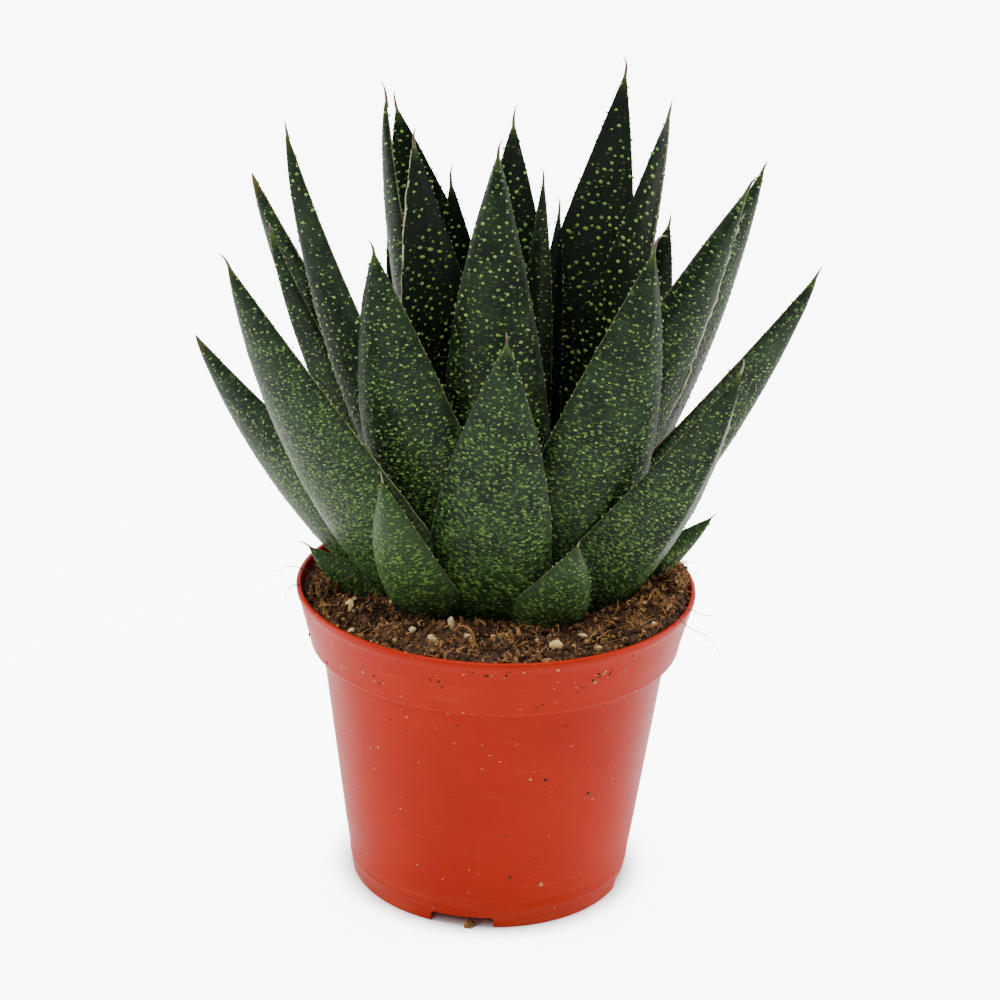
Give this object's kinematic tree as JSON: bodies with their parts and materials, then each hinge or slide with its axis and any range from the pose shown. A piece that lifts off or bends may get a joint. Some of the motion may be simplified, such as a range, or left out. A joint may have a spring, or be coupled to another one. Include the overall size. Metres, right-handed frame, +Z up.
{
  "type": "potted gasteria",
  "caption": "Rosette of thick pointed succulent leaves growing from potting mix in a round tapered nursery pot with a wide rim band and notched foot.",
  "frame": {"origin": "middle of the pot's foot, on the surface it stands on", "axes": "+Z up along the pot's axis, +X to the right as seen from the front, -Y towards the viewer"},
  "size_m": [0.182, 0.12, 0.246],
  "materials": {
    "leaf_skin": null,
    "potting_mix": null,
    "pot_plastic": "satin terracotta-coloured polypropylene"
  },
  "bodies": {
    "root": {"gasteria": "leaf_skin", "potting_mix": "potting_mix", "pot": "pot_plastic"}
  },
  "joints": []
}
